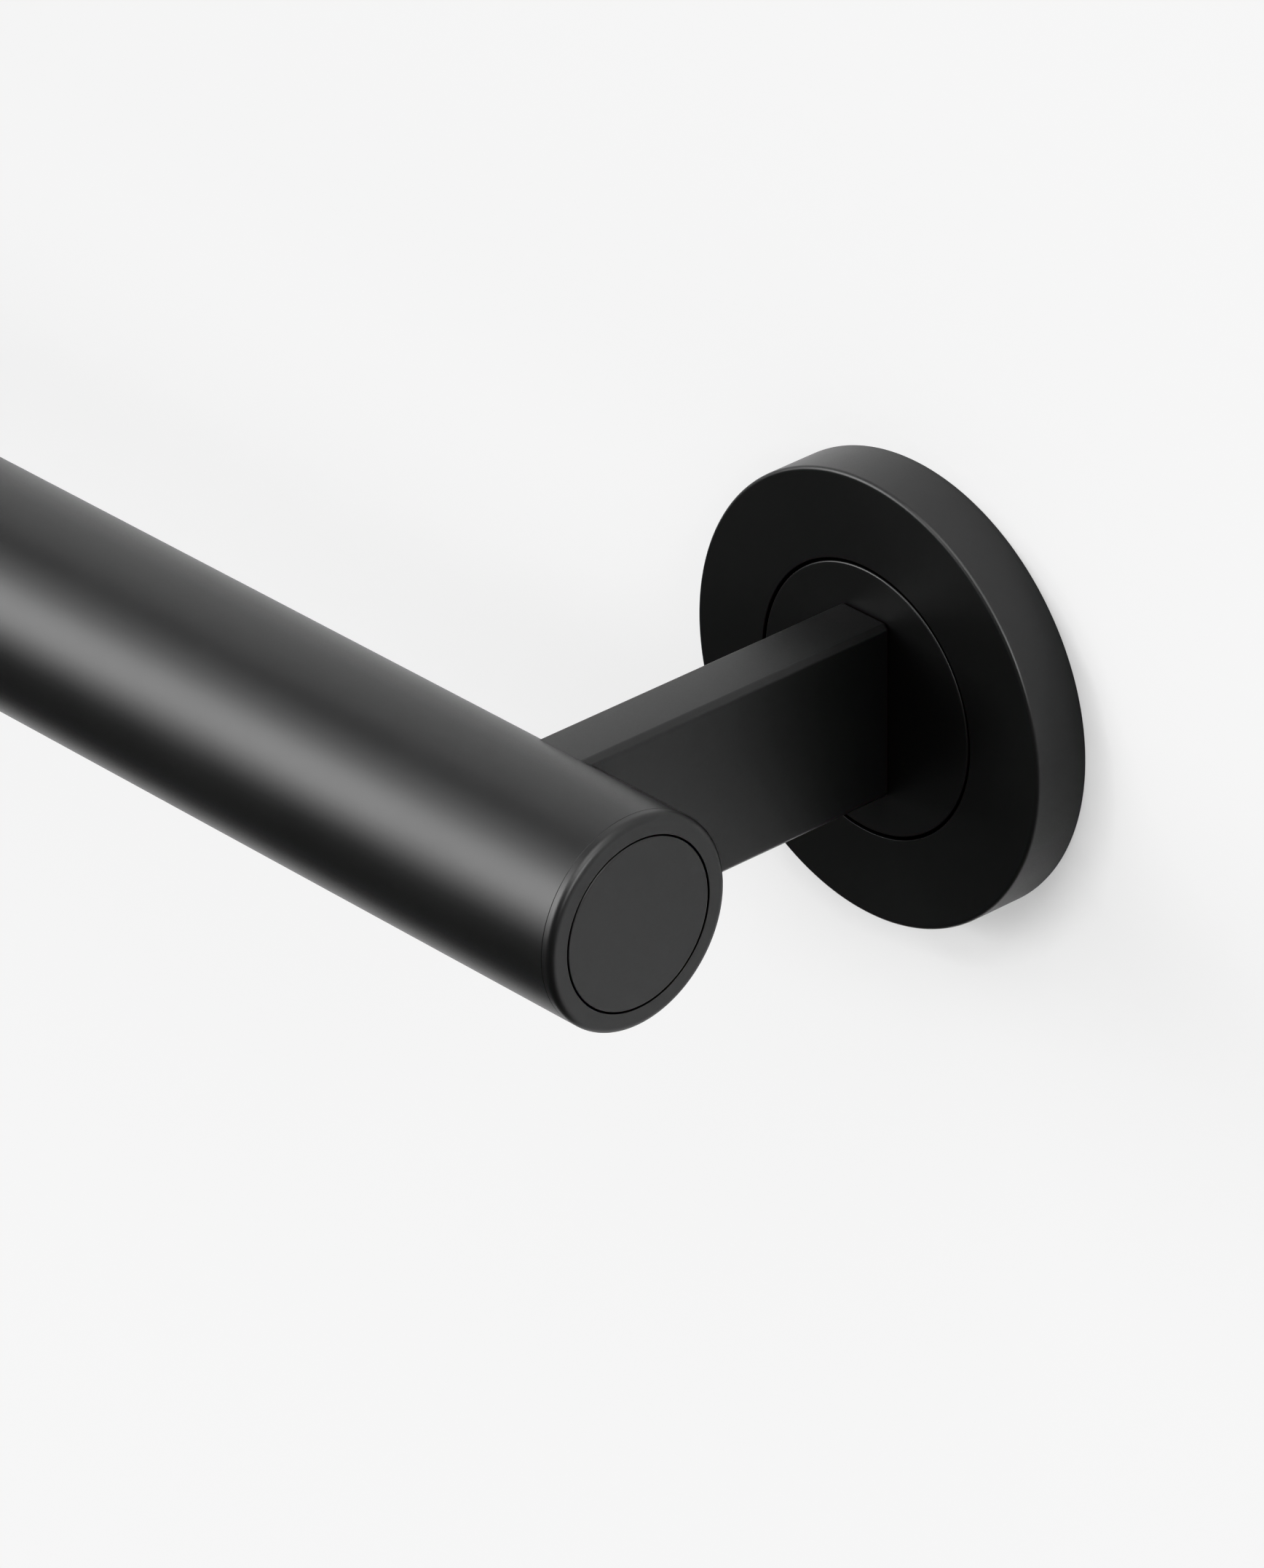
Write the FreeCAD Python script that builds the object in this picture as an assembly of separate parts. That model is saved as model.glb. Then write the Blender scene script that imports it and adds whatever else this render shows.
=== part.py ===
import FreeCAD, Part
import math
import os

# A wall-mounted grab bar: a round bar on two flat arms, each arm on a round
# wall plate whose screws are hidden by a loose cover ring. All sizes are in
# millimetres. X runs along the bar, Z is up and the wall is the plane y = 0,
# with the bar in front of it on the -Y side. The origin is midway between the
# two plates, at the height of the bar.

# Driving dimensions
BAR_DIAMETER = 32.0
BAR_WALL = 1.5
CENTRE_DISTANCE = 300.0
AXIS_FROM_WALL = 74.5
END_OVERHANG = 24.5

CAP_RIM = 1.8
CAP_EDGE_ROUND = 1.2
CAP_SPIGOT = 8.0
CAP_DISC_DIAMETER = 25.25
CAP_GAP = 0.35
CAP_DISC_THICKNESS = 2.8
CAP_STEM_DIAMETER = 12.0
CAP_STEM_LENGTH = 4.0

ARM_THICKNESS = 9.8
ARM_HEIGHT = 27.5
ARM_EDGE_ROUND = 0.8
TENON_THICKNESS = 7.0
TENON_HEIGHT = 24.0
TENON_LENGTH = 2.0
TENON_CORNER = 2.0

COVER_DIAMETER = 68.5
COVER_DEPTH = 9.2
COVER_WALL = 1.6
COVER_EDGE_ROUND = 0.6
BOSS_DIAMETER = 40.4
BOSS_GAP = 0.8

PLATE_THICKNESS = 4.0
WALL_HOLE_SPACING = 36.0
WALL_HOLE_DIAMETER = 5.2

ARM_SCREW_DIAMETER = 5.0
ARM_SCREW_LENGTH = 20.0
ARM_SCREW_HEAD = 10.0
ARM_SCREW_KEY = 3.0
ARM_SCREW_SPACING = 16.0
ARM_SCREW_SUNK = 0.3

BAR_SCREW_DIAMETER = 6.0
BAR_SCREW_LENGTH = 16.0
BAR_SCREW_HEAD = 10.0
BAR_SCREW_HEAD_HEIGHT = 4.0
BAR_SCREW_KEY = 4.0
WASHER_SIZE = 14.0
WASHER_SEAT = 11.0

FIT_GAP = 0.02
HOLE_EASE = 0.5
FLAT_LENGTH = 0.6

# Sizes that follow
BAR_RADIUS = BAR_DIAMETER / 2
BORE_RADIUS = BAR_RADIUS - BAR_WALL
END_X = CENTRE_DISTANCE / 2
CAP_FACE_X = END_X + END_OVERHANG
TUBE_END_X = CAP_FACE_X - CAP_RIM
ARM_BACK_Y = BAR_RADIUS - AXIS_FROM_WALL

ORIGIN = FreeCAD.Vector(0, 0, 0)
ALONG_BAR = FreeCAD.Vector(1, 0, 0)
TO_WALL = FreeCAD.Vector(0, 1, 0)
FROM_WALL = FreeCAD.Vector(0, -1, 0)
BAR_AXIS_POINT = FreeCAD.Vector(0, -AXIS_FROM_WALL, 0)


def corner_round(before, corner, after, size):
    """The points of a corner's round, as a few short flats: more of them on a larger round."""
    back = (before - corner).normalize()
    ahead = (after - corner).normalize()
    half_turn = back.getAngle(ahead) / 2
    inward = (back + ahead).normalize()
    centre = corner + inward * (size / math.sin(half_turn))
    first = corner + back * (size / math.tan(half_turn)) - centre
    last = corner + ahead * (size / math.tan(half_turn)) - centre
    flats = max(1, round(size / FLAT_LENGTH))
    points = []
    for i in range(flats + 1):
        share = i / flats
        turn = math.pi - 2 * half_turn
        spread = math.sin(turn * (1 - share)) / math.sin(turn)
        points.append(centre + first * spread + last * (math.sin(turn * share) / math.sin(turn)))
    return points


def outline(corners, to_point):
    """A closed wire through (a, b, round) corners."""
    points = [to_point(a, b) for a, b, size in corners]
    path = []
    for i, (a, b, size) in enumerate(corners):
        if size == 0:
            path.append(points[i])
        else:
            path += corner_round(points[i - 1], points[i], points[(i + 1) % len(points)], size)
    return Part.makePolygon(path + path[:1])


def turned_on_bar(corners):
    """A solid turned about the bar's axis, from corners given as (x, radius, round)."""
    wire = outline(corners, lambda x, r: FreeCAD.Vector(x, -AXIS_FROM_WALL, r))
    return Part.Face(wire).revolve(BAR_AXIS_POINT, ALONG_BAR, 360)


def turned_on_plate(corners):
    """A solid turned about the right plate's centre line, from corners given as (radius, y, round)."""
    wire = outline(corners, lambda r, y: FreeCAD.Vector(END_X + r, y, 0))
    return Part.Face(wire).revolve(FreeCAD.Vector(END_X, 0, 0), TO_WALL, 360)


def rod(radius, start_y, end_y, z=0.0, x=END_X):
    """A round rod that runs from start_y to end_y, square to the wall."""
    direction = TO_WALL if end_y > start_y else FROM_WALL
    return Part.makeCylinder(radius, abs(end_y - start_y), FreeCAD.Vector(x, start_y, z), direction)


def cone(start_radius, end_radius, start_y, end_y, z=0.0, x=END_X):
    """A cone that runs from start_y to end_y, square to the wall."""
    direction = TO_WALL if end_y > start_y else FROM_WALL
    height = abs(end_y - start_y)
    return Part.makeCone(start_radius, end_radius, height, FreeCAD.Vector(x, start_y, z), direction)


def tapped_hole(diameter, mouth_y, floor_y, z=0.0):
    """The space of a tapped hole, at the thread's outer diameter."""
    return rod(diameter / 2 + FIT_GAP, mouth_y, floor_y, z)


def key_socket(width, mouth_y, floor_y, z=0.0):
    """The space of a hexagonal key socket, measured across its flats."""
    corner = width / math.sqrt(3)
    points = []
    for i in range(7):
        angle = math.radians(60 * i)
        across, up = corner * math.cos(angle), corner * math.sin(angle)
        points.append(FreeCAD.Vector(END_X + across, mouth_y, z + up))
    return Part.Face(Part.makePolygon(points)).extrude(FreeCAD.Vector(0, floor_y - mouth_y, 0))


def upright_block(thickness, height, start_y, end_y, corner):
    """A bar of rectangular section with rounded long edges, square to the wall."""
    low = FreeCAD.Vector(END_X - thickness / 2, min(start_y, end_y), -height / 2)
    length = abs(end_y - start_y)
    block = Part.makeBox(thickness, length, height, low)
    return block.makeFillet(corner, [edge for edge in block.Edges if edge.BoundBox.YLength > length / 2])


def bar_tube():
    """The bar: a plain round tube with one screw hole behind each end, facing the wall."""
    corners = [
        (-TUBE_END_X, BORE_RADIUS, 0),
        (-TUBE_END_X, BAR_RADIUS, 0),
        (TUBE_END_X, BAR_RADIUS, 0),
        (TUBE_END_X, BORE_RADIUS, 0),
    ]
    tube = turned_on_bar(corners)
    for x in (-END_X, END_X):
        tube = tube.cut(rod((BAR_SCREW_DIAMETER + HOLE_EASE) / 2, -AXIS_FROM_WALL, ARM_BACK_Y + 1, x=x))
    return tube


def cap_ring():
    """The end cap's collar: a rounded rim on the tube's end and a spigot that presses into it."""
    spigot_radius = BORE_RADIUS - FIT_GAP
    seat_radius = CAP_DISC_DIAMETER / 2 + CAP_GAP
    seat_x = CAP_FACE_X - CAP_DISC_THICKNESS
    stem_bore = CAP_STEM_DIAMETER / 2 + FIT_GAP
    inner_x = TUBE_END_X - CAP_SPIGOT
    corners = [
        (CAP_FACE_X, seat_radius, 0),
        (CAP_FACE_X, BAR_RADIUS, CAP_EDGE_ROUND),
        (TUBE_END_X, BAR_RADIUS, 0),
        (TUBE_END_X, spigot_radius, 0),
        (inner_x, spigot_radius, 0),
        (inner_x, stem_bore, 0),
        (seat_x, stem_bore, 0),
        (seat_x, seat_radius, 0),
    ]
    return turned_on_bar(corners)


def cap_disc():
    """The end cap's insert: a flat disc on a stem that presses into the collar."""
    stem_radius = CAP_STEM_DIAMETER / 2
    back_x = CAP_FACE_X - CAP_DISC_THICKNESS
    corners = [
        (CAP_FACE_X, 0, 0),
        (CAP_FACE_X, CAP_DISC_DIAMETER / 2, 0),
        (back_x, CAP_DISC_DIAMETER / 2, 0),
        (back_x, stem_radius, 0),
        (back_x - CAP_STEM_LENGTH, stem_radius, 0),
        (back_x - CAP_STEM_LENGTH, 0, 0),
    ]
    return turned_on_bar(corners)


def arm():
    """The arm: a flat bar with a saddle end that fits the tube and a tenon foot in the plate."""
    shoulder_y = -COVER_DEPTH
    body = upright_block(ARM_THICKNESS, ARM_HEIGHT, shoulder_y, -AXIS_FROM_WALL, ARM_EDGE_ROUND)
    foot_y = shoulder_y + TENON_LENGTH
    tenon = upright_block(TENON_THICKNESS, TENON_HEIGHT, shoulder_y - 1, foot_y, TENON_CORNER)
    body = body.fuse(tenon).removeSplitter()
    length = ARM_THICKNESS * 2
    saddle_start = FreeCAD.Vector(END_X - length / 2, -AXIS_FROM_WALL, 0)
    body = body.cut(Part.makeCylinder(BAR_RADIUS, length, saddle_start, ALONG_BAR))
    for z in (-ARM_SCREW_SPACING / 2, ARM_SCREW_SPACING / 2):
        body = body.cut(tapped_hole(ARM_SCREW_DIAMETER, foot_y, foot_y - ARM_SCREW_LENGTH + 4, z))
    return body.cut(tapped_hole(BAR_SCREW_DIAMETER, ARM_BACK_Y - 1, ARM_BACK_Y + BAR_SCREW_LENGTH - 3))


def saddle_washer():
    """The washer inside the tube: curved to the bore on one side, flat for the screw head on the other."""
    seat_y = WASHER_SEAT - AXIS_FROM_WALL
    half = WASHER_SIZE / 2
    block = Part.makeBox(WASHER_SIZE, BORE_RADIUS, WASHER_SIZE, FreeCAD.Vector(END_X - half, seat_y, -half))
    start = FreeCAD.Vector(END_X - half, -AXIS_FROM_WALL, 0)
    bore = Part.makeCylinder(BORE_RADIUS, WASHER_SIZE, start, ALONG_BAR)
    washer = block.common(bore)
    return washer.cut(rod((BAR_SCREW_DIAMETER + HOLE_EASE) / 2, seat_y - 1, seat_y + BORE_RADIUS))


def bar_screw():
    """The socket screw that holds the tube to the arm, set from inside the tube's end."""
    seat_y = WASHER_SEAT - AXIS_FROM_WALL
    top_y = seat_y - BAR_SCREW_HEAD_HEIGHT
    head = rod(BAR_SCREW_HEAD / 2, seat_y, top_y)
    shank = rod(BAR_SCREW_DIAMETER / 2, seat_y - 1, seat_y + BAR_SCREW_LENGTH)
    screw = head.fuse(shank).removeSplitter()
    return screw.cut(key_socket(BAR_SCREW_KEY, top_y, top_y + BAR_SCREW_HEAD_HEIGHT / 2))


def wall_plate():
    """The wall plate: a round plate with a raised boss, seen as the disc at the arm's foot."""
    plate_radius = COVER_DIAMETER / 2 - COVER_WALL - FIT_GAP
    boss_radius = BOSS_DIAMETER / 2
    corners = [
        (0, 0, 0),
        (plate_radius, 0, 0),
        (plate_radius, -PLATE_THICKNESS, 0),
        (boss_radius, -PLATE_THICKNESS, 0),
        (boss_radius, -COVER_DEPTH, 0),
        (0, -COVER_DEPTH, 0),
    ]
    plate = turned_on_plate(corners)
    pocket_floor = -COVER_DEPTH + TENON_LENGTH + FIT_GAP
    pocket_size = (TENON_THICKNESS + 2 * FIT_GAP, TENON_HEIGHT + 2 * FIT_GAP)
    plate = plate.cut(upright_block(*pocket_size, -COVER_DEPTH - 1, pocket_floor, TENON_CORNER))
    for z in (-ARM_SCREW_SPACING / 2, ARM_SCREW_SPACING / 2):
        plate = plate.cut(arm_screw_space(z))
    for x in (-WALL_HOLE_SPACING / 2, WALL_HOLE_SPACING / 2):
        for z in (-WALL_HOLE_SPACING / 2, WALL_HOLE_SPACING / 2):
            plate = plate.cut(rod(WALL_HOLE_DIAMETER / 2, 1, -PLATE_THICKNESS - 1, z, END_X + x))
    return plate


def arm_screw_space(z):
    """The hole and countersink that an arm's screw takes in the plate, from behind."""
    hole = (ARM_SCREW_DIAMETER + HOLE_EASE) / 2
    mouth = ARM_SCREW_HEAD / 2 + ARM_SCREW_SUNK
    return rod(hole, 1, -COVER_DEPTH, z).fuse(cone(mouth, hole, 0, hole - mouth, z))


def arm_screw(z):
    """One countersunk screw that holds the arm to the plate from behind."""
    radius = ARM_SCREW_DIAMETER / 2
    head = ARM_SCREW_HEAD / 2
    top_y = -ARM_SCREW_SUNK
    neck_y = top_y - (head - radius)
    shank = rod(radius, neck_y, top_y - ARM_SCREW_LENGTH, z)
    screw = cone(head, radius, top_y, neck_y, z).fuse(shank)
    return screw.cut(key_socket(ARM_SCREW_KEY, top_y, top_y - ARM_SCREW_DIAMETER * 0.4, z))


def cover_ring():
    """The cover ring: a turned shell that slides along the arm and hides the plate's screws."""
    outer = COVER_DIAMETER / 2
    bore = BOSS_DIAMETER / 2 + BOSS_GAP
    inner_y = -COVER_DEPTH + COVER_WALL
    corners = [
        (outer, 0, 0),
        (outer, -COVER_DEPTH, COVER_EDGE_ROUND),
        (bore, -COVER_DEPTH, 0),
        (bore, inner_y, 0),
        (outer - COVER_WALL, inner_y, 0),
        (outer - COVER_WALL, 0, 0),
    ]
    return turned_on_plate(corners)


def turned_to_left(shape):
    """The same piece at the other end: half a turn about the line square to the wall."""
    turned = shape.copy()
    turned.rotate(ORIGIN, TO_WALL, 180)
    return turned


def end_pieces():
    """Every piece of the right end, with the name that it has before its side is added."""
    half = ARM_SCREW_SPACING / 2
    return {
        "cap_ring": cap_ring(),
        "cap_disc": cap_disc(),
        "arm": arm(),
        "saddle_washer": saddle_washer(),
        "bar_screw": bar_screw(),
        "wall_plate": wall_plate(),
        "arm_screw_upper": arm_screw(half),
        "arm_screw_lower": arm_screw(-half),
        "cover_ring": cover_ring(),
    }


SWAPPED = {"arm_screw_upper": "arm_screw_lower", "arm_screw_lower": "arm_screw_upper"}
TURNED = ("cap_ring", "cap_disc", "wall_plate", "cover_ring")


def all_nodes():
    """Every node by its name. The turned pieces of both ends share a node each."""
    nodes = {"bar_tube": [bar_tube()]}
    for name, shape in end_pieces().items():
        left = turned_to_left(shape)
        if name in TURNED:
            nodes[name + "s"] = [shape, left]
        else:
            nodes[name + "_right"] = [shape]
            nodes[SWAPPED.get(name, name) + "_left"] = [left]
    return nodes


os.makedirs("parts", exist_ok=True)
for name, shapes in sorted(all_nodes().items()):
    solids = [solid for shape in shapes for solid in shape.Solids]
    group = Part.makeCompound(solids) if len(solids) > 1 else solids[0]
    group.exportStep("parts/" + name + ".step")
    print(name, len(solids), group.isValid(), round(group.Volume, 1))
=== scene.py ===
import math

import bmesh
import bpy
from mathutils import Matrix, Vector


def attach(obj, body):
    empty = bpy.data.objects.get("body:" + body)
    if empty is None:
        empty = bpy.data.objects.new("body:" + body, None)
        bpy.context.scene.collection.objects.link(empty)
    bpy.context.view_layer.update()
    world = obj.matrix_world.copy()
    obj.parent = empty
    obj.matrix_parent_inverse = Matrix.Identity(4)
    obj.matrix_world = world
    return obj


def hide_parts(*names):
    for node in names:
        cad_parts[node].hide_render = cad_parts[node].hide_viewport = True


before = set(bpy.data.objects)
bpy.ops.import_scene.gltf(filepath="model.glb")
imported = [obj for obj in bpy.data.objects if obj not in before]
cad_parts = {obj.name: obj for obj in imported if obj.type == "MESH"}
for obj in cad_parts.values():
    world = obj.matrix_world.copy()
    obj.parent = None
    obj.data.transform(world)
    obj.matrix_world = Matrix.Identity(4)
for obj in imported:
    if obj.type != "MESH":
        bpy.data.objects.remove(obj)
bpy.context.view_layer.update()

# Sizes are in millimetres. X runs along the bar, Z is up and the wall is the plane y = 0.
MM = 0.001

# The gap between pieces that fit, and how far a tool cuts past a surface
FIT_GAP = 0.02
BEYOND = 1.0

# The tube
BAR_RADIUS = 16.0
BORE_RADIUS = 14.5
AXIS_Y = -74.5
END_X = 150.0
CAP_FACE_X = 174.5
TUBE_END_X = 172.7
SEAM_ROUND = 0.07

# The end caps, each a ring and a disc on a stem
CAP_EDGE_ROUND = 1.0
CAP_PLUG_X = 164.7
CAP_DISC_RADIUS = 12.73
CAP_DISC_LIP = 0.16
CAP_SEAT_RADIUS = 12.95
CAP_SEAT_LIP = 0.06
CAP_SEAT_X = 171.7
CAP_STEM_RADIUS = 6.0
CAP_STEM_X = 167.7

# The arms, each with a tenon at its foot
ARM_THICKNESS = 9.8
ARM_HEIGHT = 27.5
ARM_EDGE_ROUND = 0.5
ARM_EDGE_BEVEL = 0.75
ARM_FOOT_EASE = 0.5
TENON_THICKNESS = 7.0
TENON_HEIGHT = 24.0
TENON_CORNER = 2.0
TENON_END_Y = -7.2

# The bases, each a wall plate with a boss and a cover ring round it
COVER_RADIUS = 34.25
COVER_FACE_Y = -9.2
COVER_WALL = 1.6
COVER_EDGE_ROUND = 0.55
COVER_BORE_RADIUS = 20.86
COVER_LIP = 0.14
BOSS_RADIUS = 20.44
BOSS_LIP = 0.28
PLATE_RADIUS = 32.63
PLATE_FACE_Y = -4.0
WALL_HOLE_RADIUS = 2.6
WALL_HOLE_SPACING = 36.0

# The countersunk screws from the wall plates into the arms, and their holes
ARM_SCREW_SPACING = 16.0
ARM_SCREW_HEAD_Y = -0.3
ARM_SCREW_HEAD_RADIUS = 4.9
ARM_SCREW_HEAD_HEIGHT = 2.5
ARM_SCREW_RADIUS = 2.5
ARM_SCREW_LENGTH = 20.0
ARM_SCREW_PITCH = 0.8
ARM_SCREW_KEY = 3.0
ARM_SCREW_HOLE_RADIUS = 2.75
ARM_SCREW_SINK_RADIUS = 5.8
ARM_SCREW_SINK_DEPTH = 2.55
ARM_SCREW_BORE_RADIUS = 2.52
ARM_SCREW_BORE_DEPTH = 16.0
ARM_SCREW_BORE_TIP = 1.4

# The socket screws from inside the tube into the arms, and their holes
BAR_SCREW_HEAD_Y = -67.5
BAR_SCREW_HEAD_RADIUS = 5.0
BAR_SCREW_HEAD_HEIGHT = 4.0
BAR_SCREW_RADIUS = 3.0
BAR_SCREW_LENGTH = 20.0
BAR_SCREW_PITCH = 1.0
BAR_SCREW_KEY = 4.0
BAR_SCREW_HOLE_RADIUS = 3.25
BAR_SCREW_BORE_RADIUS = 3.02
BAR_SCREW_BORE_DEPTH = 13.0
BAR_SCREW_BORE_TIP = 1.6

# How the shapes are formed
GUIDE_RADIUS = 1.0
FLAT_GUARD = 0.15
THREAD_CREST = 0.12
THREAD_ROOT = 0.85
RINGS_A_TURN = 8

# The studio, with the floor's height in metres
WALL_Y = 0.05
WALL_CUT_RADIUS = 34.0
FLOOR_Z = -1.3


# Small helpers for node trees

def put(tree, kind, inputs=None, **settings):
    """Adds a node. Its inputs are given by name, as values or as the sockets that feed them."""
    node = tree.nodes.new(kind)
    for name, value in settings.items():
        setattr(node, name, value)
    for name, value in (inputs or {}).items():
        if isinstance(value, bpy.types.NodeSocket):
            tree.links.new(value, node.inputs[name])
        else:
            node.inputs[name].default_value = value
    return node


def maths(tree, operation, *values):
    """The result of one sum, on values or sockets."""
    return put(tree, "ShaderNodeMath", dict(enumerate(values)), operation=operation).outputs[0]


def between(tree, value, low, high, lowest, highest):
    """A value moved from one range to another."""
    return put(tree, "ShaderNodeMapRange", {
        "Value": value,
        "From Min": low,
        "From Max": high,
        "To Min": lowest,
        "To Max": highest,
    }).outputs["Result"]


def new_tree(name, sizes):
    """A geometry tree that takes and gives a mesh, with named inputs for its sizes."""
    tree = bpy.data.node_groups.new(name, "GeometryNodeTree")
    tree.interface.new_socket("Geometry", in_out="INPUT", socket_type="NodeSocketGeometry")
    tree.interface.new_socket("Geometry", in_out="OUTPUT", socket_type="NodeSocketGeometry")
    for label, kind in sizes:
        tree.interface.new_socket(label, in_out="INPUT", socket_type=kind)
    tree.interface.new_socket("Finish", in_out="INPUT", socket_type="NodeSocketMaterial")
    given = tree.nodes.new("NodeGroupInput").outputs
    return tree, given


def close_tree(tree, given, shape):
    """Ends a tree: what repeats becomes real mesh, and the finish goes on."""
    real = put(tree, "GeometryNodeRealizeInstances", {"Geometry": shape})
    finish = {"Geometry": real.outputs["Geometry"], "Material": given["Finish"]}
    finished = put(tree, "GeometryNodeSetMaterial", finish)
    put(tree, "NodeGroupOutput", {"Geometry": finished.outputs["Geometry"]})
    return tree


def grow(start, tree, sizes):
    """The plain mesh that a tree makes from a start object, which is used up."""
    bpy.context.collection.objects.link(start)
    modifier = start.modifiers.new("grow", "NODES")
    modifier.node_group = tree
    for socket in tree.interface.items_tree:
        if socket.in_out == "INPUT" and socket.name in sizes:
            modifier[socket.identifier] = sizes[socket.name]
    bpy.context.view_layer.update()
    seen = start.evaluated_get(bpy.context.evaluated_depsgraph_get())
    mesh = bpy.data.meshes.new_from_object(seen)
    start.modifiers.remove(modifier)
    bpy.data.objects.remove(start)
    return mesh


# Profiles

def arc(before, corner, after, size, steps):
    """The points of a corner's round."""
    if size == 0:
        return [corner]
    back = (before - corner).normalized()
    ahead = (after - corner).normalized()
    half_angle = back.angle(ahead) / 2
    centre = corner + (back + ahead).normalized() * (size / math.sin(half_angle))
    first = corner + back * (size / math.tan(half_angle)) - centre
    last = corner + ahead * (size / math.tan(half_angle)) - centre
    turn = math.pi - 2 * half_angle
    points = []
    for i in range(steps + 1):
        share = i / steps
        early = math.sin(turn * (1 - share)) / math.sin(turn)
        late = math.sin(turn * share) / math.sin(turn)
        points.append(centre + first * early + last * late)
    return points


def rounded(corners, closed=True, steps=8):
    """The points of a profile through (a, b, round) corners."""
    spots = [Vector(corner[:2]) for corner in corners]
    points = []
    for i, corner in enumerate(corners):
        points += arc(spots[i - 1], spots[i], spots[(i + 1) % len(spots)], corner[2], steps)
    return guarded(points, closed)


def guarded(points, closed):
    """The same points, with one more near each end of a long flat, to keep its shading flat."""
    result = []
    for i, point in enumerate(points):
        result.append(point)
        following = points[(i + 1) % len(points)]
        reach = following - point
        if reach.length > 4 * FLAT_GUARD and (closed or i + 1 < len(points)):
            step = reach.normalized() * FLAT_GUARD
            result += [point + step, following - step]
    return result


def profile_wire(points, closed):
    """A wire for the turning tree, from points given as (along the axis, radius)."""
    spots = [((radius - GUIDE_RADIUS) * MM, -along * MM, 0) for along, radius in points]
    edges = [(i, i + 1) for i in range(len(spots) - 1)]
    if closed:
        edges.append((len(spots) - 1, 0))
    mesh = bpy.data.meshes.new("profile")
    mesh.from_pydata(spots, edges, [])
    return bpy.data.objects.new("profile", mesh)


# Trees

def swept(tree, given):
    """Nodes that sweep the given profile once round the Z axis."""
    guide = {"Resolution": given["Segments"], "Radius": GUIDE_RADIUS * MM}
    circle = put(tree, "GeometryNodeCurvePrimitiveCircle", guide)
    profile = put(tree, "GeometryNodeMeshToCurve", {"Mesh": given["Geometry"]})
    sweep = {"Curve": circle.outputs["Curve"], "Profile Curve": profile.outputs["Curve"]}
    skin = put(tree, "GeometryNodeCurveToMesh", sweep)
    closing = {"Geometry": skin.outputs["Mesh"], "Distance": 1e-7}
    return put(tree, "GeometryNodeMergeByDistance", closing).outputs["Geometry"]


def turning_tree():
    """Turns a profile into a round piece, as a lathe does."""
    tree, given = new_tree("turned_piece", [("Segments", "NodeSocketInt")])
    return close_tree(tree, given, swept(tree, given))


def places_in_rows(tree, given, shape):
    """Nodes that repeat a shape at the points of a grid that stands square to the wall's normal."""
    grid = put(tree, "GeometryNodeMeshGrid", {
        "Size X": given["Across"],
        "Size Y": given["Up"],
        "Vertices X": given["Columns"],
        "Vertices Y": given["Rows"],
    })
    upright = put(tree, "GeometryNodeTransform", {
        "Geometry": grid.outputs["Mesh"],
        "Translation": given["Centre"],
        "Rotation": (math.pi / 2, 0, 0),
    })
    repeat = {"Points": upright.outputs["Geometry"], "Instance": shape}
    return put(tree, "GeometryNodeInstanceOnPoints", repeat).outputs["Instances"]


ROW_SIZES = [
    ("Across", "NodeSocketFloat"),
    ("Up", "NodeSocketFloat"),
    ("Columns", "NodeSocketInt"),
    ("Rows", "NodeSocketInt"),
    ("Centre", "NodeSocketVector"),
]


def drilling_tree():
    """Cuts rows of holes, each in the shape of the tool object."""
    tree, given = new_tree("drilled_piece", ROW_SIZES + [("Tool", "NodeSocketObject")])
    tool = put(tree, "GeometryNodeObjectInfo", {"Object": given["Tool"]})
    holes = places_in_rows(tree, given, tool.outputs["Geometry"])
    real = put(tree, "GeometryNodeRealizeInstances", {"Geometry": holes})
    cut = put(tree, "GeometryNodeMeshBoolean", {
        "Mesh 1": given["Geometry"],
        "Mesh 2": real.outputs["Geometry"],
    }, operation="DIFFERENCE", solver="EXACT")
    return close_tree(tree, given, cut.outputs["Mesh"])


def thread_offset(tree, given):
    """How far each point of a screw moves in to form its thread, and its distance from the axis."""
    spot = put(tree, "GeometryNodeInputPosition").outputs[0]
    x, y, z = put(tree, "ShaderNodeSeparateXYZ", {0: spot}).outputs
    turns = maths(tree, "DIVIDE", maths(tree, "ARCTAN2", y, x), math.tau)
    along = maths(tree, "DIVIDE", z, given["Pitch"])
    phase = maths(tree, "FRACT", maths(tree, "SUBTRACT", along, turns))
    doubled = maths(tree, "MULTIPLY", phase, 2.0)
    ridge = maths(tree, "ABSOLUTE", maths(tree, "SUBTRACT", doubled, 1.0))
    flank = between(tree, ridge, THREAD_CREST, THREAD_ROOT, 0.0, 1.0)
    full_z = maths(tree, "ADD", given["Thread Start"], given["Pitch"])
    runout = between(tree, z, given["Thread Start"], full_z, 0.0, 1.0)
    depth = maths(tree, "MULTIPLY", maths(tree, "MULTIPLY", flank, runout), given["Thread Depth"])
    across = put(tree, "ShaderNodeCombineXYZ", {"X": x, "Y": y}).outputs[0]
    radius = put(tree, "ShaderNodeVectorMath", {0: across}, operation="LENGTH").outputs["Value"]
    outward = put(tree, "ShaderNodeVectorMath", {0: across}, operation="NORMALIZE").outputs[0]
    inward = maths(tree, "MULTIPLY", depth, -1.0)
    shift = {0: outward, "Scale": inward}
    move = put(tree, "ShaderNodeVectorMath", shift, operation="SCALE").outputs[0]
    return move, radius


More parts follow.
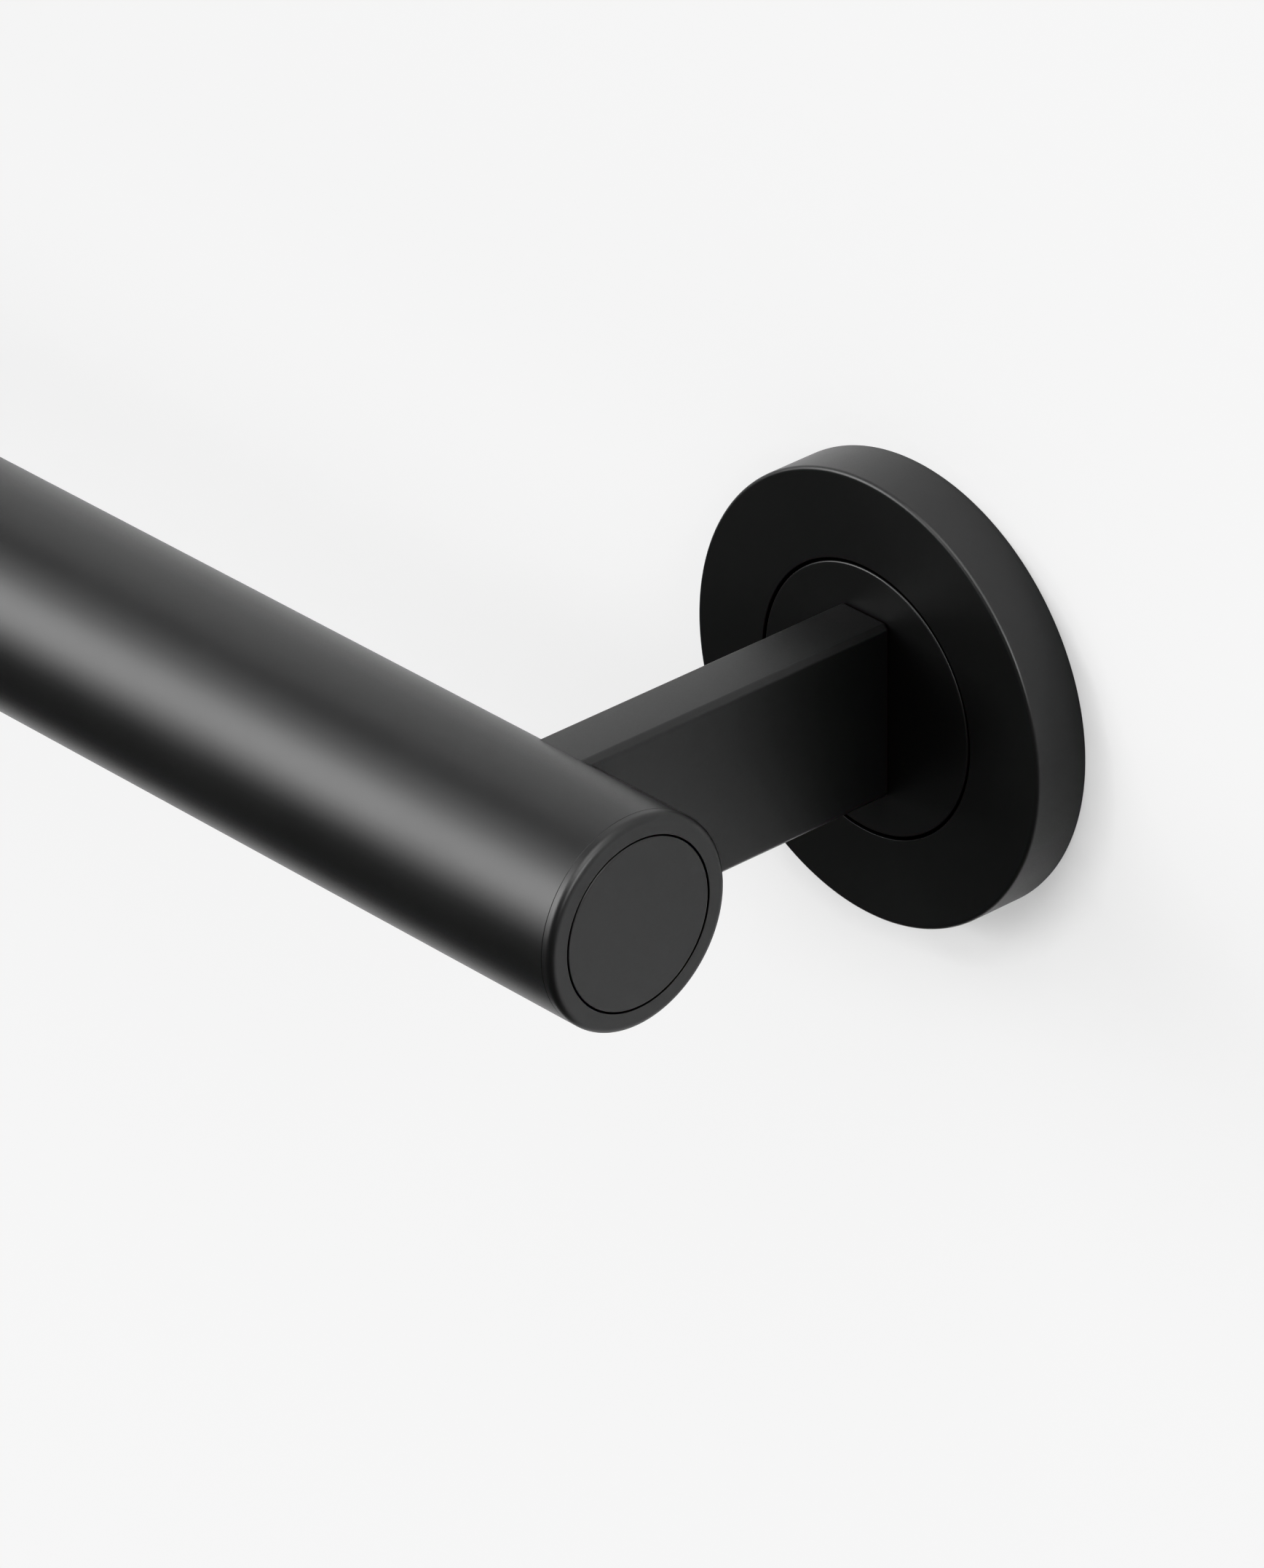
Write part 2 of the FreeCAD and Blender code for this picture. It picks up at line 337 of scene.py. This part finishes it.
def screw_tree():
    """Turns a screw, cuts its hexagonal socket, forms its thread and sets copies of it in rows."""
    sizes = [
        ("Segments", "NodeSocketInt"),
        ("Pitch", "NodeSocketFloat"),
        ("Thread Depth", "NodeSocketFloat"),
        ("Thread Start", "NodeSocketFloat"),
        ("Socket Radius", "NodeSocketFloat"),
        ("Socket Depth", "NodeSocketFloat"),
    ]
    tree, given = new_tree("screws", sizes + ROW_SIZES)
    key = put(tree, "GeometryNodeMeshCylinder", {
        "Vertices": 6,
        "Radius": given["Socket Radius"],
        "Depth": maths(tree, "MULTIPLY", given["Socket Depth"], 2.0),
    })
    socketed = put(tree, "GeometryNodeMeshBoolean", {
        "Mesh 1": swept(tree, given),
        "Mesh 2": key.outputs["Mesh"],
    }, operation="DIFFERENCE", solver="EXACT")
    move, radius = thread_offset(tree, given)
    marked = put(tree, "GeometryNodeStoreNamedAttribute", {
        "Geometry": socketed.outputs["Mesh"],
        "Name": "from_axis",
        "Value": radius,
    }, data_type="FLOAT", domain="POINT")
    threaded = put(tree, "GeometryNodeSetPosition", {
        "Geometry": marked.outputs["Geometry"],
        "Offset": move,
    })
    laid = put(tree, "GeometryNodeTransform", {
        "Geometry": threaded.outputs["Geometry"],
        "Rotation": (math.pi / 2, 0, 0),
    })
    return close_tree(tree, given, places_in_rows(tree, given, laid.outputs["Geometry"]))


# Finishes

def new_finish(name):
    """A material with only a shader and its output, and the point of the surface on the piece."""
    finish = bpy.data.materials.new(name)
    finish.use_nodes = True
    tree = finish.node_tree
    tree.nodes.clear()
    shader = put(tree, "ShaderNodeBsdfPrincipled")
    put(tree, "ShaderNodeOutputMaterial", {"Surface": shader.outputs["BSDF"]})
    spot = put(tree, "ShaderNodeTexCoord").outputs["Object"]
    return finish, tree, shader, spot


def noise(tree, spot, scale, detail=2.0):
    """Even noise, with its features at one over the scale, in metres."""
    settings = {"Vector": spot, "Scale": scale, "Detail": detail}
    return put(tree, "ShaderNodeTexNoise", settings).outputs["Fac"]


def spread(tree, value, lowest, highest):
    """Noise stretched from its usual range to the given one."""
    return between(tree, value, 0.3, 0.7, lowest, highest)


def blend_of(tree, share, first, second):
    """A colour between two greys."""
    mix = put(tree, "ShaderNodeMix", data_type="RGBA")
    tree.links.new(share, mix.inputs[0])
    mix.inputs[6].default_value = (*first, 1)
    mix.inputs[7].default_value = (*second, 1)
    return mix.outputs[2]


def powder_coat():
    """Fine matt black powder coat: near black, with a faint orange peel and fine grain."""
    finish, tree, shader, spot = new_finish("black_powder_coat")
    peel = noise(tree, spot, 900.0, 2.0)
    grain = noise(tree, spot, 5200.0, 3.0)
    cloud = noise(tree, spot, 38.0, 4.0)
    share = spread(tree, cloud, 0.0, 1.0)
    tone = blend_of(tree, share, (0.0098, 0.0098, 0.0098), (0.0116, 0.0116, 0.0116))
    tree.links.new(tone, shader.inputs["Base Color"])
    fine_rough = spread(tree, grain, -0.02, 0.02)
    rough = maths(tree, "ADD", spread(tree, cloud, 0.405, 0.435), fine_rough)
    tree.links.new(rough, shader.inputs["Roughness"])
    waves = maths(tree, "MULTIPLY", peel, 0.6)
    height = maths(tree, "ADD", waves, maths(tree, "MULTIPLY", grain, 0.4))
    bump = put(tree, "ShaderNodeBump", {"Height": height, "Strength": 0.25, "Distance": 0.00002})
    tree.links.new(bump.outputs["Normal"], shader.inputs["Normal"])
    return finish


def bare_steel(name, marks):
    """Bare stainless steel, with fine tool marks made by the given function."""
    finish, tree, shader, spot = new_finish(name)
    shader.inputs["Metallic"].default_value = 1.0
    line = marks(tree, spot)
    stain = noise(tree, spot, 120.0, 3.0)
    share = spread(tree, stain, 0.0, 1.0)
    tone = blend_of(tree, share, (0.50, 0.50, 0.51), (0.60, 0.60, 0.61))
    tree.links.new(tone, shader.inputs["Base Color"])
    tree.links.new(between(tree, line, 0.0, 1.0, 0.24, 0.40), shader.inputs["Roughness"])
    bump = put(tree, "ShaderNodeBump", {"Height": line, "Strength": 0.35, "Distance": 0.00001})
    tree.links.new(bump.outputs["Normal"], shader.inputs["Normal"])
    return finish


def turned_marks(tree, spot):
    """Rings round a screw's own axis, left by the lathe."""
    radius = put(tree, "ShaderNodeAttribute", attribute_name="from_axis").outputs["Fac"]
    rings = maths(tree, "SINE", maths(tree, "MULTIPLY", radius, 52000.0))
    return between(tree, maths(tree, "ADD", rings, noise(tree, spot, 2500.0)), -1.0, 2.0, 0.0, 1.0)


def rolled_marks(tree, spot):
    """Long fine streaks along the bar, left by rolling and polishing."""
    settings = {"Vector": spot, "Scale": (40.0, 2600.0, 2600.0)}
    stretch = put(tree, "ShaderNodeMapping", settings).outputs[0]
    return noise(tree, stretch, 1.0, 3.0)


# Pieces

def smooth(mesh, angle=32):
    """Shades a mesh smooth but for its real corners, with its faces outwards."""
    shell = bmesh.new()
    shell.from_mesh(mesh)
    bmesh.ops.recalc_face_normals(shell, faces=shell.faces)
    shell.to_mesh(mesh)
    shell.free()
    mesh.polygons.foreach_set("use_smooth", [True] * len(mesh.polygons))
    mesh.set_sharp_from_angle(angle=math.radians(angle))


def finished(name, mesh, slot, nodes):
    """A finished piece that stands for its nodes of the solid model."""
    mesh.name = name
    smooth(mesh)
    piece = bpy.data.objects.new(name, mesh)
    bpy.context.collection.objects.link(piece)
    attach(piece, "root")
    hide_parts(*nodes)


ON_BAR = Matrix.Translation((0, AXIS_Y * MM, 0)) @ Matrix.Rotation(math.pi / 2, 4, "Y")
ON_PLATE = Matrix.Translation((END_X * MM, 0, 0)) @ Matrix.Rotation(-math.pi / 2, 4, "X")
TO_LEFT = Matrix.Rotation(math.pi, 4, "Y")


def turned(corners, finish, closed=True, segments=192, place=Matrix.Identity(4)):
    """A round piece from its profile, given as (along the axis, radius, round) corners."""
    wire = profile_wire(rounded(corners, closed), closed)
    mesh = grow(wire, TURNING, {"Segments": segments, "Finish": finish})
    mesh.transform(place)
    return mesh


def drilled(mesh, tool, finish, columns, rows, across, up, centre):
    """The mesh with rows of holes cut by a tool, a mesh with its axis along Y."""
    cutter = bpy.data.objects.new("cutter", tool)
    bpy.context.collection.objects.link(cutter)
    start = bpy.data.objects.new("blank", mesh)
    smooth(mesh)
    smooth(tool)
    result = grow(start, DRILLING, {
        "Across": across * MM,
        "Up": up * MM,
        "Columns": columns,
        "Rows": rows,
        "Centre": [value * MM for value in centre],
        "Tool": cutter,
        "Finish": finish,
    })
    bpy.data.objects.remove(cutter)
    return result


def round_tool(corners, finish):
    """A cutting tool turned about a line square to the wall, from (y, radius) corners."""
    profile = [(y, radius, 0) for y, radius in corners]
    upright = Matrix.Rotation(-math.pi / 2, 4, "X")
    return turned(profile, finish, closed=False, segments=64, place=upright)


def drill(mouth, end, radius, finish, tip=0.0):
    """A drill square to the wall, from one y to another, with a tip of the given length."""
    return round_tool([(mouth, 0), (mouth, radius), (end, radius), (end + tip, 0)], finish)


def bar_tube_mesh(coat):
    """The tube, eased at both ends, with a screw hole behind each end."""
    mesh = turned([
        (-TUBE_END_X, BORE_RADIUS, 0),
        (-TUBE_END_X, BAR_RADIUS, SEAM_ROUND),
        (TUBE_END_X, BAR_RADIUS, SEAM_ROUND),
        (TUBE_END_X, BORE_RADIUS, 0),
    ], coat, place=ON_BAR)
    hole = drill(AXIS_Y, AXIS_Y + BAR_RADIUS + BEYOND, BAR_SCREW_HOLE_RADIUS, coat)
    return drilled(mesh, hole, coat, 2, 1, 2 * END_X, 0, (0, 0, 0))


def cap_ring_mesh(coat):
    """The end cap's collar, with a rounded rim and a plug that fits the tube."""
    return turned([
        (CAP_FACE_X, CAP_SEAT_RADIUS, CAP_SEAT_LIP),
        (CAP_FACE_X, BAR_RADIUS, CAP_EDGE_ROUND),
        (TUBE_END_X, BAR_RADIUS, SEAM_ROUND),
        (TUBE_END_X, BORE_RADIUS - FIT_GAP, 0),
        (CAP_PLUG_X, BORE_RADIUS - FIT_GAP, 0.5),
        (CAP_PLUG_X, CAP_STEM_RADIUS + FIT_GAP, 0),
        (CAP_SEAT_X, CAP_STEM_RADIUS + FIT_GAP, 0),
        (CAP_SEAT_X, CAP_SEAT_RADIUS, 0),
    ], coat, place=ON_BAR)


def cap_disc_mesh(coat):
    """The end cap's round insert, on its stem."""
    return turned([
        (CAP_FACE_X, 0, 0),
        (CAP_FACE_X, CAP_DISC_RADIUS, CAP_DISC_LIP),
        (CAP_SEAT_X, CAP_DISC_RADIUS, 0),
        (CAP_SEAT_X, CAP_STEM_RADIUS, 0),
        (CAP_STEM_X, CAP_STEM_RADIUS, 0.4),
        (CAP_STEM_X, 0, 0),
    ], coat, closed=False, place=ON_BAR)


def cover_ring_mesh(coat):
    """The cover ring, a turned shell with an eased rim and a fine lip at its bore."""
    return turned([
        (0, COVER_RADIUS, 0),
        (COVER_FACE_Y, COVER_RADIUS, COVER_EDGE_ROUND),
        (COVER_FACE_Y, COVER_BORE_RADIUS, COVER_LIP),
        (COVER_FACE_Y + COVER_WALL, COVER_BORE_RADIUS, 0),
        (COVER_FACE_Y + COVER_WALL, COVER_RADIUS - COVER_WALL, 0),
        (0, COVER_RADIUS - COVER_WALL, 0),
    ], coat, segments=256, place=ON_PLATE)


def block_outline(thickness, height, corner, bevel=0.0, inset=0.0, rungs=36):
    """The outline of a flat bar, as (x, z) points, with even steps up its sides.

    Its corners are round or, with a bevel, slanted and rounded at both edges.
    """
    half_x = thickness / 2 - inset
    half_z = height / 2 - inset
    # How far in the centres of the rounds lie, from the side that a round meets and from the other
    near = corner - inset
    far = near + bevel - (2 - math.sqrt(2)) * corner if bevel else near
    turns = (0, 15, 30, 45, 45, 60, 75, 90) if bevel else [90 * i / 7 for i in range(8)]
    side = [(half_z - far) * (1 - 2 * i / rungs) for i in range(1, rungs)]
    points = []
    for sign_x, sign_z, first in ((1, 1, 90), (1, -1, 0), (-1, -1, -90), (-1, 1, 180)):
        for i, turn in enumerate(turns):
            in_x, in_z = (far, near) if (i < 4) == (sign_x == sign_z) else (near, far)
            angle = math.radians(first - turn)
            x = (half_x - in_x) * sign_x + near * math.cos(angle)
            points.append((x, (half_z - in_z) * sign_z + near * math.sin(angle)))
        if sign_x == 1 and sign_z == 1:
            points += [(half_x, z) for z in side]
        if sign_x == -1 and sign_z == -1:
            points += [(-half_x, -z) for z in side]
    return points


def saddle_y(z):
    """Where the arm meets the tube, at a height."""
    return AXIS_Y + math.sqrt(BAR_RADIUS ** 2 - z ** 2)


def arm_rings():
    """The arm's outline at each station, from the tenon's end to the saddle."""
    def section(inset):
        return block_outline(ARM_THICKNESS, ARM_HEIGHT, ARM_EDGE_ROUND, ARM_EDGE_BEVEL, inset)

    tenon = block_outline(TENON_THICKNESS, TENON_HEIGHT, TENON_CORNER)
    rings = [[(x, TENON_END_Y, z) for x, z in tenon], [(x, COVER_FACE_Y, z) for x, z in tenon]]
    for i in range(6):
        angle = math.pi / 2 * i / 5
        inset = ARM_FOOT_EASE * (1 - math.sin(angle))
        y = COVER_FACE_Y - ARM_FOOT_EASE * (1 - math.cos(angle))
        rings.append([(x, y, z) for x, z in section(inset)])
    foot_y = COVER_FACE_Y - ARM_FOOT_EASE
    shaft = section(0.0)
    # The rings close to both ends keep the shading flat
    for share in (0.004, 0.1, 0.3, 0.5, 0.7, 0.9, 0.996, 1.0):
        rings.append([(x, foot_y + (saddle_y(z) - foot_y) * share, z) for x, z in shaft])
    return rings


def arm_mesh(coat):
    """The arm: a flat bar with a saddle end coped to the tube and a tenon foot, both tapped."""
    rings = arm_rings()
    count = len(rings[0])
    spots = [((END_X + x) * MM, y * MM, z * MM) for ring in rings for x, y, z in ring]
    faces = []
    for low in range(0, count * (len(rings) - 1), count):
        for i in range(count):
            j = (i + 1) % count
            faces.append((low + i, low + j, low + count + j, low + count + i))
    last = count * (len(rings) - 1)
    rungs = count // 2
    # Each end is closed by strips from side to side
    for start in (0, last):
        for i in range(rungs - 1):
            across = start + count - 1 - i
            faces.append((start + i, start + i + 1, across - 1, across))
    mesh = bpy.data.meshes.new("arm")
    mesh.from_pydata(spots, [], faces)
    mesh.materials.append(coat)
    mouth, end = TENON_END_Y + BEYOND, TENON_END_Y - ARM_SCREW_BORE_DEPTH
    tool = drill(mouth, end, ARM_SCREW_BORE_RADIUS, coat, -ARM_SCREW_BORE_TIP)
    mesh = drilled(mesh, tool, coat, 1, 2, 0, ARM_SCREW_SPACING, (END_X, 0, 0))
    saddle = AXIS_Y + BAR_RADIUS
    mouth, end = saddle - BEYOND, saddle + BAR_SCREW_BORE_DEPTH
    tool = drill(mouth, end, BAR_SCREW_BORE_RADIUS, coat, BAR_SCREW_BORE_TIP)
    return drilled(mesh, tool, coat, 1, 1, 0, 0, (END_X, 0, 0))


def pocket_tool(coat):
    """The tool that cuts the seat of the arm's tenon."""
    thickness = TENON_THICKNESS + 2 * FIT_GAP
    outline = block_outline(thickness, TENON_HEIGHT + 2 * FIT_GAP, TENON_CORNER, rungs=2)
    count = len(outline)
    levels = (COVER_FACE_Y - BEYOND, TENON_END_Y + FIT_GAP)
    spots = [(x * MM, y * MM, z * MM) for y in levels for x, z in outline]
    faces = [(i, (i + 1) % count, count + (i + 1) % count, count + i) for i in range(count)]
    faces += [tuple(range(count)), tuple(range(count, 2 * count))]
    mesh = bpy.data.meshes.new("pocket")
    mesh.from_pydata(spots, [], faces)
    mesh.materials.append(coat)
    return mesh


def wall_plate_mesh(coat):
    """The wall plate with its boss, the arm's seat, two sunk screw holes and four wall holes."""
    mesh = turned([
        (0, 0, 0),
        (0, PLATE_RADIUS, 0.2),
        (PLATE_FACE_Y, PLATE_RADIUS, 0.3),
        (PLATE_FACE_Y, BOSS_RADIUS, 0),
        (COVER_FACE_Y, BOSS_RADIUS, BOSS_LIP),
        (COVER_FACE_Y, 0, 0),
    ], coat, closed=False, segments=256, place=ON_PLATE)
    mesh = drilled(mesh, pocket_tool(coat), coat, 1, 1, 0, 0, (END_X, 0, 0))
    sink = round_tool([
        (BEYOND / 2, 0),
        (BEYOND / 2, ARM_SCREW_SINK_RADIUS),
        (-ARM_SCREW_SINK_DEPTH, ARM_SCREW_HOLE_RADIUS),
        (COVER_FACE_Y, ARM_SCREW_HOLE_RADIUS),
        (COVER_FACE_Y, 0),
    ], coat)
    mesh = drilled(mesh, sink, coat, 1, 2, 0, ARM_SCREW_SPACING, (END_X, 0, 0))
    hole = drill(BEYOND, PLATE_FACE_Y - BEYOND, WALL_HOLE_RADIUS, coat)
    return drilled(mesh, hole, coat, 2, 2, WALL_HOLE_SPACING, WALL_HOLE_SPACING, (END_X, 0, 0))


def shank(start, end, radius, pitch):
    """Corners along a shank from its head to its tip, close enough together for its thread."""
    rings = round((end - start) / pitch * RINGS_A_TURN)
    return [(start + (end - start) * i / rings, radius) for i in range(rings + 1)]


def screws(profile, steel, sizes, rows, up, head_y):
    """Screws at both ends in one mesh, from one screw's profile as (from its head, radius)."""
    wire = profile_wire([Vector(corner) for corner in profile], False)
    lengths = {name: value * MM for name, value in sizes.items()}
    return grow(wire, SCREWS, {
        "Segments": 40,
        **lengths,
        "Across": 2 * END_X * MM,
        "Up": up * MM,
        "Columns": 2,
        "Rows": rows,
        "Centre": (0, head_y * MM, 0),
        "Finish": steel,
    })


def arm_screws_mesh(steel):
    """The four countersunk screws that hold the arms to the wall plates."""
    radius, end = ARM_SCREW_RADIUS, ARM_SCREW_LENGTH
    head = [(0, 0), (0, ARM_SCREW_HEAD_RADIUS - 0.1), (0.1, ARM_SCREW_HEAD_RADIUS)]
    body = shank(ARM_SCREW_HEAD_HEIGHT, end - 0.6, radius, ARM_SCREW_PITCH)
    tip = [(end - 0.4, radius), (end, radius - 0.5), (end, 0)]
    sizes = {
        "Pitch": ARM_SCREW_PITCH,
        "Thread Depth": 0.49,
        "Thread Start": 4.0,
        "Socket Radius": ARM_SCREW_KEY / math.sqrt(3),
        "Socket Depth": 2.0,
    }
    profile = head + body + tip
    return screws(profile, steel, sizes, 2, ARM_SCREW_SPACING, ARM_SCREW_HEAD_Y)


def bar_screws_mesh(steel):
    """The two socket screws inside the tube, turned round so that their tips point to the wall."""
    radius, end = BAR_SCREW_RADIUS, BAR_SCREW_LENGTH
    rim, height = BAR_SCREW_HEAD_RADIUS, BAR_SCREW_HEAD_HEIGHT
    head = [(0, 0), (0, rim - 0.3), (0.3, rim), (height, rim)]
    body = shank(height, end - 0.7, radius, BAR_SCREW_PITCH)
    tip = [(end - 0.5, radius), (end, radius - 0.6), (end, 0)]
    sizes = {
        "Pitch": BAR_SCREW_PITCH,
        "Thread Depth": 0.61,
        "Thread Start": 6.5,
        "Socket Radius": BAR_SCREW_KEY / math.sqrt(3),
        "Socket Depth": 2.0,
    }
    mesh = screws(head + body + tip, steel, sizes, 1, 0, -BAR_SCREW_HEAD_Y)
    mesh.transform(Matrix.Rotation(math.pi, 4, "Z"))
    return mesh


def build_part():
    """Every piece of the part, in its finish."""
    coat = powder_coat()
    finished("bar_tube_body", bar_tube_mesh(coat), "black_coat", ["bar_tube"])
    both_ends = (
        ("cap_ring", cap_ring_mesh, ("cap_rings", "cap_rings")),
        ("cap_disc", cap_disc_mesh, ("cap_discs", "cap_discs")),
        ("arm_body", arm_mesh, ("arm_right", "arm_left")),
        ("wall_plate", wall_plate_mesh, ("wall_plates", "wall_plates")),
        ("cover_ring", cover_ring_mesh, ("cover_rings", "cover_rings")),
    )
    for name, make, nodes in both_ends:
        right = make(coat)
        left = right.copy()
        left.transform(TO_LEFT)
        finished(name + "_at_right", right, "black_coat", [nodes[0]])
        finished(name + "_at_left", left, "black_coat", [nodes[1]])
    screw_steel = bare_steel("turned_steel", turned_marks)
    levels, sides = ("upper", "lower"), ("right", "left")
    arm_screw_nodes = [f"arm_screw_{level}_{side}" for level in levels for side in sides]
    finished("arm_screws", arm_screws_mesh(screw_steel), "steel", arm_screw_nodes)
    bar_screw_nodes = [f"bar_screw_{side}" for side in sides]
    finished("bar_screws", bar_screws_mesh(screw_steel), "steel", bar_screw_nodes)
    washer_steel = bare_steel("rolled_steel", rolled_marks)
    for side in sides:
        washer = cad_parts["saddle_washer_" + side]
        washer.data.materials.clear()
        washer.data.materials.append(washer_steel)


# Studio

def pale_surface(name, colour, relief):
    """A pale matt finish that shows from its front only, and is clear from behind."""
    finish, tree, shader, spot = new_finish(name)
    shader.inputs["Roughness"].default_value = 0.85
    shader.inputs["Specular IOR Level"].default_value = 0.2
    cloud = noise(tree, spot, 3.0, 4.0)
    lighter = tuple(min(1.0, value * 1.02) for value in colour)
    tree.links.new(blend_of(tree, cloud, colour, lighter), shader.inputs["Base Color"])
    height = noise(tree, spot, 220.0, 4.0)
    bump = put(tree, "ShaderNodeBump", {"Height": height, "Strength": relief, "Distance": 0.0004})
    tree.links.new(bump.outputs["Normal"], shader.inputs["Normal"])
    clear = put(tree, "ShaderNodeBsdfTransparent")
    back = put(tree, "ShaderNodeNewGeometry").outputs["Backfacing"]
    sides = {0: back, 1: shader.outputs["BSDF"], 2: clear.outputs["BSDF"]}
    either = put(tree, "ShaderNodeMixShader", sides)
    output = [node for node in tree.nodes if node.type == "OUTPUT_MATERIAL"][0]
    tree.links.new(either.outputs[0], output.inputs["Surface"])
    return finish


def staged(name, shell, finish):
    """A surface of the studio, not part of the object."""
    mesh = bpy.data.meshes.new(name)
    shell.to_mesh(mesh)
    shell.free()
    mesh.materials.append(finish)
    surface = bpy.data.objects.new(name, mesh)
    bpy.context.collection.objects.link(surface)
    return surface


def ring_of_edges(shell, points):
    """A closed ring of edges through the points."""
    spots = [shell.verts.new(point) for point in points]
    return [shell.edges.new((spots[i - 1], spots[i])) for i in range(len(spots))]


def build_wall():
    """The wall, cut out behind each plate, where the screws go in."""
    shell = bmesh.new()
    y, side, top, steps = WALL_Y * MM, 4.0, 3.0, 96
    outline = [(-side, y, FLOOR_Z), (side, y, FLOOR_Z), (side, y, top), (-side, y, top)]
    edges = ring_of_edges(shell, outline)
    for x in (-END_X, END_X):
        circle = []
        for i in range(steps):
            angle = math.tau * i / steps
            across, up = WALL_CUT_RADIUS * math.cos(angle), WALL_CUT_RADIUS * math.sin(angle)
            circle.append(((x + across) * MM, y, up * MM))
        edges += ring_of_edges(shell, circle)
    filling = {"use_beauty": True, "use_dissolve": False, "normal": (0, -1, 0)}
    bmesh.ops.triangle_fill(shell, edges=edges, **filling)
    for face in shell.faces:
        if face.normal.y > 0:
            face.normal_flip()
    staged("wall", shell, pale_surface("pale_plaster", (0.745, 0.745, 0.745), 0.3))


def build_floor():
    """A plain pale floor, well below the bar."""
    shell = bmesh.new()
    reach = 7.0
    corners = [(-reach, -reach), (reach, -reach), (reach, reach), (-reach, reach)]
    shell.faces.new([shell.verts.new((x, y, FLOOR_Z)) for x, y in corners])
    floor = staged("floor", shell, pale_surface("pale_floor", (0.63, 0.63, 0.63), 0.1))
    floor.visible_glossy = False


def sun(name, towards, angle, energy):
    """A far round light, given by the way to it and its width in degrees."""
    light = bpy.data.lights.new(name, "SUN")
    light.angle = math.radians(angle)
    light.energy = energy
    lamp = bpy.data.objects.new(name, light)
    lamp.rotation_mode = "QUATERNION"
    lamp.rotation_quaternion = Vector(towards).to_track_quat("Z", "Y")
    bpy.context.collection.objects.link(lamp)


def build_lights():
    """A soft key from the left in a broad glow, with lights above, at the right and at the back."""
    sun("soft_key", (-0.647, -0.698, 0.307), 32, 1.81)
    sun("broad_key", (-0.647, -0.673, 0.358), 64, 1.60)
    sun("top_soft", (0.2, -0.35, 0.9), 50, 2.55)
    sun("side_soft", (0.83, -0.27, 0.47), 28, 2.05)
    rear = bpy.data.lights.new("rear_soft", "AREA")
    rear.shape = "SQUARE"
    rear.size = 1.8
    rear.energy = 60
    place = Vector((0.7, 1.7, 1.1))
    lamp = bpy.data.objects.new("rear_soft", rear)
    lamp.location = place
    lamp.rotation_mode = "QUATERNION"
    lamp.rotation_quaternion = place.to_track_quat("Z", "Y")
    lamp.visible_camera = False
    bpy.context.collection.objects.link(lamp)


def build_world():
    """A dim even room, which shows pale behind the part."""
    world = bpy.data.worlds.new("room")
    bpy.context.scene.world = world
    world.use_nodes = True
    tree = world.node_tree
    tree.nodes.clear()
    dim = put(tree, "ShaderNodeBackground", {"Color": (0.245, 0.245, 0.245, 1), "Strength": 1.0})
    pale = put(tree, "ShaderNodeBackground", {"Color": (1.15, 1.15, 1.15, 1), "Strength": 1.0})
    seen = put(tree, "ShaderNodeLightPath").outputs["Is Camera Ray"]
    either = put(tree, "ShaderNodeMixShader", {0: seen, 1: dim.outputs[0], 2: pale.outputs[0]})
    put(tree, "ShaderNodeOutputWorld", {"Surface": either.outputs[0]})


def build_camera():
    """The camera at the photograph's place, right of the bar and above it, with a long lens."""
    turn, tilt, roll = (math.radians(angle) for angle in (47.7855, 29.1706, -0.6936))
    reach = math.cos(tilt)
    back = Vector((math.sin(turn) * reach, -math.cos(turn) * reach, math.sin(tilt)))
    level = Vector((math.cos(turn), math.sin(turn), 0))
    rise = back.cross(level)
    right = level * math.cos(roll) + rise * math.sin(roll)
    up = rise * math.cos(roll) - level * math.sin(roll)
    lens = bpy.data.cameras.new("camera")
    lens.sensor_width = 36
    lens.lens = 244.777
    lens.clip_start = 0.05
    lens.clip_end = 40
    camera = bpy.data.objects.new("camera", lens)
    camera.rotation_mode = "QUATERNION"
    camera.rotation_quaternion = Matrix((right, up, back)).transposed().to_quaternion()
    camera.location = (1.092106, -0.907874, 0.713522)
    bpy.context.collection.objects.link(camera)
    bpy.context.scene.camera = camera


TURNING = turning_tree()
DRILLING = drilling_tree()
SCREWS = screw_tree()

build_part()
build_wall()
build_floor()
build_lights()
build_world()
build_camera()
bpy.context.scene.view_settings.view_transform = "Khronos PBR Neutral"
